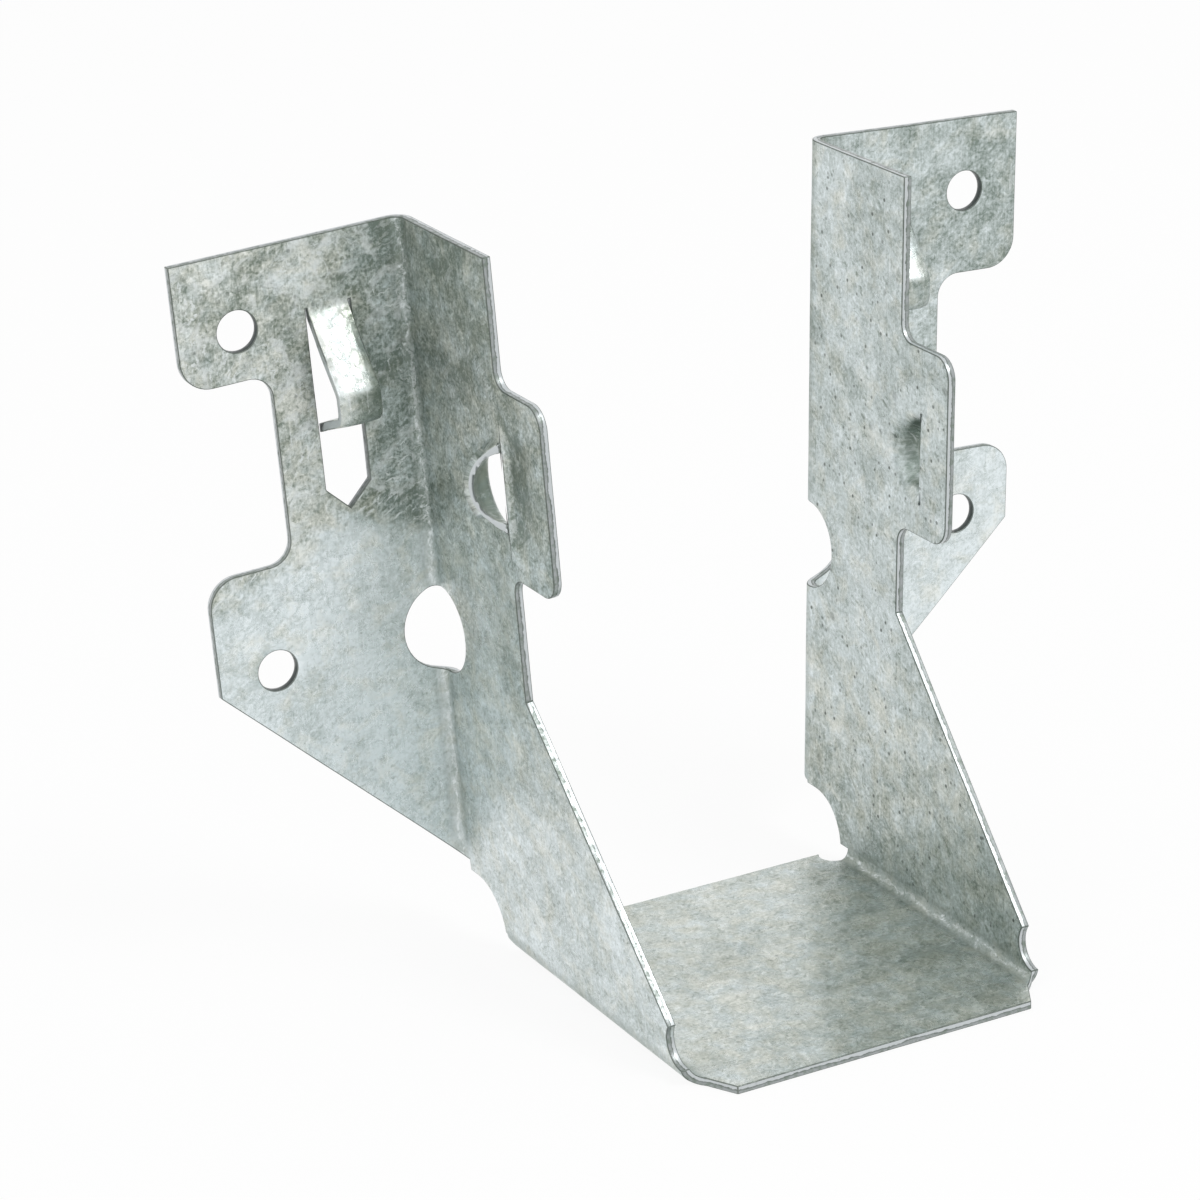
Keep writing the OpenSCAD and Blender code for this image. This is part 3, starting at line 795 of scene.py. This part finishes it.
def finish_mesh(mesh, header_y):
    """Adds the blank's coordinates, the places of weathering, dirt, folds and cut edges, and the painted light and
    shade: the tone, the painted shade on the walls of holes and slots and the painted shade along the cut edges.
    """
    co = read(mesh.vertices, "co", 3)
    normals = read(mesh.vertices, "normal", 3)
    p = Side(co, header_y)
    uv = mesh.uv_layers.new(name="blank")
    loops = read(mesh.loops, "vertex_index", kind=np.int32)
    uv.data.foreach_set("uv", np.stack([p.across, p.along], 1)[loops].ravel())
    for name, values in (
        ("weathering", weathering(p)), ("speckle", speckle(p)), ("warmth", warmth(p)),
        ("tone_and_painted_light", tone_and_painted_light(p, normals, co)), ("fold", p.fold), ("depth", p.through), ("hole", painted_wall_shade(p, co)),
    ):
        made = mesh.attributes.new(name, "FLOAT", "POINT")
        made.data.foreach_set("value", np.asarray(values, float))
    kinds = read(mesh.attributes["kind"].data, "value", kind=np.int32)
    sizes = read(mesh.polygons, "loop_total", kind=np.int32)
    # Where the painted shade along the cut edges goes, weaker on the domes.
    edge = mesh.attributes.new("edge_near", "FLOAT", "CORNER")
    on_dome = ((p.x > WALL_OUT + 0.3 * MM) & (p.d > DOMES_FROM_D))[loops]
    edge.data.foreach_set("value", np.repeat(kinds == 2, sizes) * np.where(on_dome, DOME_EDGE_SHARE, 1.0))


def bow_tree():
    """Geometry nodes that let a flat sheet wander in long shallow waves and give it its two materials."""
    tree = bpy.data.node_groups.new("Sheet bow", "GeometryNodeTree")
    sockets = {}
    for name, kind, default in (
        ("Geometry", "NodeSocketGeometry", None), ("Height", "NodeSocketFloat", 0.0001),
        ("Length", "NodeSocketFloat", 0.02), ("Seed", "NodeSocketFloat", BOW_SEED),
        ("Face", "NodeSocketMaterial", None), ("Cut", "NodeSocketMaterial", None),
    ):
        made = tree.interface.new_socket(name, in_out="INPUT", socket_type=kind)
        if default is not None:
            made.default_value = default
        sockets[name] = made.identifier
    tree.interface.new_socket("Geometry", in_out="OUTPUT", socket_type="NodeSocketGeometry")
    get = add(tree, "NodeGroupInput", -900).outputs
    give = add(tree, "NodeGroupOutput", 900).inputs
    spot = add(tree, "GeometryNodeInputPosition", -900, -300)
    wave = add(tree, "ShaderNodeTexNoise", -500, -200, noise_dimensions="4D")
    put(tree, wave, Vector=spot.outputs[0], W=get["Seed"], Detail=1.0, Roughness=0.4,
        Scale=maths(tree, "DIVIDE", 1.0, get["Length"]))
    centred = add(tree, "ShaderNodeVectorMath", -300, -200, operation="SUBTRACT")
    put(tree, centred, _0=wave.outputs["Color"], _1=(0.5, 0.5, 0.5))
    sized = add(tree, "ShaderNodeVectorMath", -100, -200, operation="SCALE")
    put(tree, sized, _0=centred.outputs[0], Scale=maths(tree, "MULTIPLY", get["Height"], 3.0))
    moved = add(tree, "GeometryNodeSetPosition", 100)
    put(tree, moved, Geometry=get["Geometry"], Offset=sized.outputs[0])
    kind = add(tree, "GeometryNodeInputNamedAttribute", 100, -300, data_type="INT")
    kind.inputs["Name"].default_value = "kind"
    is_cut = add(tree, "FunctionNodeCompare", 300, -300, data_type="INT", operation="EQUAL")
    tree.links.new(kind.outputs[0], is_cut.inputs[2])
    is_cut.inputs[3].default_value = 1
    whole = add(tree, "GeometryNodeRealizeInstances", 300)
    tree.links.new(moved.outputs[0], whole.inputs[0])
    face = add(tree, "GeometryNodeSetMaterial", 450)
    put(tree, face, Geometry=whole.outputs[0], Material=get["Face"])
    cut = add(tree, "GeometryNodeSetMaterial", 600)
    put(tree, cut, Geometry=face.outputs[0], Selection=is_cut.outputs[0], Material=get["Cut"])
    tree.links.new(cut.outputs[0], give[0])
    return tree, sockets


def bow_sheet(piece, size, header_y):
    """Runs the bow on the piece, makes the result its plain mesh, and keeps it inside the hanger's own box."""
    tree, sockets = bow_tree()
    bow = piece.modifiers.new("Sheet bow", "NODES")
    bow.node_group = tree
    bow[sockets["Height"]] = size.bow_height
    bow[sockets["Length"]] = size.bow_length
    bow[sockets["Seed"]] = BOW_SEED
    bow[sockets["Face"]], bow[sockets["Cut"]] = piece.data.materials
    bake(piece)
    mesh = piece.data
    co = read(mesh.vertices, "co", 3)
    p = Side(co, header_y)
    thin_domes(co, p, mesh, size.dome_thinning)
    press_ears(co, p, size.ear_sink)
    crown_prongs(co, p, size.prong_crown)
    low, high = np.array(CAD_BOX[0]), np.array(CAD_BOX[1])
    mesh.vertices.foreach_set("co", np.clip(co, low, high).ravel())
    mesh.update()
    mesh.polygons.foreach_set("use_smooth", [True] * len(mesh.polygons))
    soft = piece.modifiers.new("Even normals", "WEIGHTED_NORMAL")
    soft.weight = 90
    soft.keep_sharp = True
    bake(piece)


def press_ears(co, p, sink):
    """Sinks a shallow dish into the left ear before its nail guide, behind a ridge along the slit."""
    ahead = p.d - p.mouth
    height = smooth(7.5 * MM, 3.5 * MM, np.abs(p.z - p.dome_z))
    dish = smooth(0.25 * MM, 1.3 * MM, ahead) * smooth(7 * MM, 2.6 * MM, ahead)
    on_ear = p.left & (ahead > 0) & (p.x < WALL_OUT + 0.1 * MM) & ~p.seat
    co[:, 0] += np.where(on_ear, sink * height * dish, 0.0)


def crown_prongs(co, p, height):
    """Rolls down the long sides of each prong, as the lancing punch leaves them."""
    off = np.abs(p.x - SLOT_X) / PRONG_HALF
    out = smooth(1.2 * MM, 3.2 * MM, p.d) * (off < 1.06) * (p.z > SLOT_LOW)
    co[:, 1] += np.where(out > 0, height * out * off ** 3, 0.0)


def thin_domes(co, p, mesh, share):
    """Thins the wall of each nail guide, as the drawn sheet is, by moving its outside inwards."""
    skin = BVHTree.FromPolygons([v.co for v in mesh.vertices], [f.vertices for f in mesh.polygons])
    sin, cos = math.sin(SPLAY), math.cos(SPLAY)
    back, start = Vector((0, 0.12 * MM, 0)), 9 * MM
    near = np.hypot(p.d - p.mouth + DOME_CENTRE_BACK, p.z - p.dome_z) < DOME_R
    before = (p.d > DOMES_FROM_D) & (p.d < p.mouth + 0.1 * MM)
    for i in np.nonzero(near & before & (p.x > WALL_OUT + 0.15 * MM))[0]:
        height = p.dome_z[i] - SEAT_BEND_Z
        rise = DOME_CENTRE_X - SEAT_BEND_X
        centre = Vector((
            p.side[i] * (SEAT_BEND_X + rise * cos + height * sin),
            co[i, 1] + p.d[i] - p.mouth[i] + DOME_CENTRE_BACK,
            SEAT_BEND_Z + height * cos - rise * sin))
        ray = Vector(co[i]) + back - centre
        reach = ray.length
        ray.normalize()
        hit = skin.ray_cast(centre + ray * start, -ray, start)[0]
        if hit is None:
            continue
        below = (hit - centre).length - reach
        fade = share * float(smooth(WALL_OUT + 0.2 * MM, WALL_OUT + 1.6 * MM, p.x[i]))
        if -0.05 * MM < below < SHEET:
            co[i] -= np.array(ray) * (SHEET - below) * fade


def bake(piece):
    """Applies the piece's modifiers, leaving a plain mesh with no modifier."""
    dg = bpy.context.evaluated_depsgraph_get()
    mesh = bpy.data.meshes.new_from_object(piece.evaluated_get(dg), preserve_all_data_layers=True, depsgraph=dg)
    old = piece.data
    piece.modifiers.clear()
    piece.data = mesh
    name = old.name
    bpy.data.meshes.remove(old)
    mesh.name = name


# ---------------------------------------------------------------- stage


def floor_material():
    """Pale floor that the camera sees as near white, with the shadow on it kept."""
    mat = bpy.data.materials.new("studio_floor")
    mat.use_nodes = True
    tree = mat.node_tree
    tree.nodes.clear()
    out = add(tree, "ShaderNodeOutputMaterial", 600)
    matt = add(tree, "ShaderNodeBsdfDiffuse", 0)
    matt.inputs["Color"].default_value = colour((FLOOR_ALBEDO,) * 3)
    glow = add(tree, "ShaderNodeEmission", 0, -200)
    glow.inputs["Color"].default_value = (1, 1, 1, 1)
    glow.inputs["Strength"].default_value = 1.0
    path = add(tree, "ShaderNodeLightPath", -600)
    seen = maths(tree, "MULTIPLY", path.outputs["Is Camera Ray"], FLOOR_GLOW)
    mirrored = maths(tree, "MAXIMUM", path.outputs["Is Glossy Ray"], path.outputs["Is Transmission Ray"])
    mixed = add(tree, "ShaderNodeMixShader", 300)
    tree.links.new(maths(tree, "MAXIMUM", seen, maths(tree, "MULTIPLY", mirrored, FLOOR_GLOW)), mixed.inputs[0])
    tree.links.new(matt.outputs[0], mixed.inputs[1])
    tree.links.new(glow.outputs[0], mixed.inputs[2])
    tree.links.new(mixed.outputs[0], out.inputs["Surface"])
    return mat


class HANGER_OT_stage(bpy.types.Operator):
    """Set up the camera, the floor, the soft lights and the white surroundings"""

    bl_idname = "hanger.stage"
    bl_label = "Studio stage"

    def execute(self, context):
        stage = context.scene.hanger_stage
        middle = (Vector(CAD_BOX[0]) + Vector(CAD_BOX[1])) / 2
        aim = middle + Vector((-8.22, 14.7, -2.6)) * MM
        a, e = stage.azimuth, stage.elevation
        back = Vector((math.sin(a) * math.cos(e), -math.cos(a) * math.cos(e), math.sin(e)))
        right = Vector((0, 0, 1)).cross(back).normalized()
        up = back.cross(right)
        turned = Matrix.Rotation(stage.roll, 3, -back)
        right, up = turned @ right, turned @ up
        data = bpy.data.cameras.new("camera")
        data.lens = stage.lens
        data.sensor_width = 36
        data.clip_start, data.clip_end = 0.02, 20
        camera = bpy.data.objects.new("camera", data)
        context.scene.collection.objects.link(camera)
        place = Matrix((right, up, back)).transposed().to_4x4()
        place.translation = aim + back * stage.distance
        camera.matrix_world = place
        context.scene.camera = camera

        mesh = bpy.data.meshes.new("floor")
        s = FLOOR_HALF
        mesh.from_pydata([(-s, -s, 0), (s, -s, 0), (s, s, 0), (-s, s, 0)], [], [(0, 1, 2, 3)])
        mesh.materials.append(floor_material())
        floor = bpy.data.objects.new("floor", mesh)
        floor.location.z = CAD_BOX[0][2] - FLOOR_GAP
        context.scene.collection.objects.link(floor)

        self.lamp(context, "key", (0.28, -0.45, 0.72), 0.36, stage.key, middle)
        self.lamp(context, "fill", (-0.75, -0.25, 0.4), 0.6, stage.fill, middle)

        world = bpy.data.worlds.new("surroundings")
        world.use_nodes = True
        tree = world.node_tree
        tree.nodes.clear()
        out = add(tree, "ShaderNodeOutputWorld", 300)
        sky = add(tree, "ShaderNodeBackground")
        path = add(tree, "ShaderNodeLightPath", -600)
        seen = maths(tree, "MAXIMUM", path.outputs["Is Camera Ray"],
                     maths(tree, "MAXIMUM", path.outputs["Is Glossy Ray"], path.outputs["Is Transmission Ray"]))
        tree.links.new(span(tree, seen, 0.0, 1.0, stage.ambient, 1.0, False), sky.inputs["Strength"])
        tree.links.new(sky.outputs[0], out.inputs["Surface"])
        sky.inputs["Color"].default_value = (1, 1, 1, 1)
        context.scene.world = world
        context.scene.view_settings.view_transform = "Standard"
        return {"FINISHED"}

    @staticmethod
    def lamp(context, name, place, size, power, target):
        data = bpy.data.lights.new(name, "AREA")
        data.shape = "DISK"
        data.size = size
        data.energy = power
        lamp = bpy.data.objects.new(name, data)
        lamp.location = Vector(place)
        lamp.rotation_mode = "QUATERNION"
        lamp.rotation_quaternion = (Vector(place) - target).to_track_quat("Z", "Y")
        context.scene.collection.objects.link(lamp)


# ---------------------------------------------------------------- add-on


class HANGER_PT_panel(bpy.types.Panel):
    """Sizes, colours and steps of the dressed hanger"""

    bl_idname = "HANGER_PT_panel"
    bl_label = "Joist hanger"
    bl_space_type = "VIEW_3D"
    bl_region_type = "UI"
    bl_category = "Joist hanger"

    def draw(self, context):
        for title, group in (("Sheet", "hanger_sheet"), ("Zinc", "hanger_zinc"), ("Stage", "hanger_stage")):
            box = self.layout.box()
            box.label(text=title)
            settings = getattr(context.scene, group)
            for name in settings.__annotations__:
                box.prop(settings, name)
        for operator in OPERATORS:
            self.layout.operator(operator.bl_idname)


OPERATORS = (HANGER_OT_sheet, HANGER_OT_stage)
CLASSES = (HangerSheetSettings, HangerZincSettings, HangerStageSettings, *OPERATORS, HANGER_PT_panel)


def register():
    for cls in CLASSES:
        bpy.utils.register_class(cls)
    bpy.types.Scene.hanger_sheet = PointerProperty(type=HangerSheetSettings)
    bpy.types.Scene.hanger_zinc = PointerProperty(type=HangerZincSettings)
    bpy.types.Scene.hanger_stage = PointerProperty(type=HangerStageSettings)


def unregister():
    del bpy.types.Scene.hanger_stage
    del bpy.types.Scene.hanger_zinc
    del bpy.types.Scene.hanger_sheet
    for cls in reversed(CLASSES):
        bpy.utils.unregister_class(cls)


def main():
    register()
    make_shader_groups()
    bpy.ops.hanger.sheet()
    bpy.ops.hanger.stage()


if __name__ == "__main__":
    main()
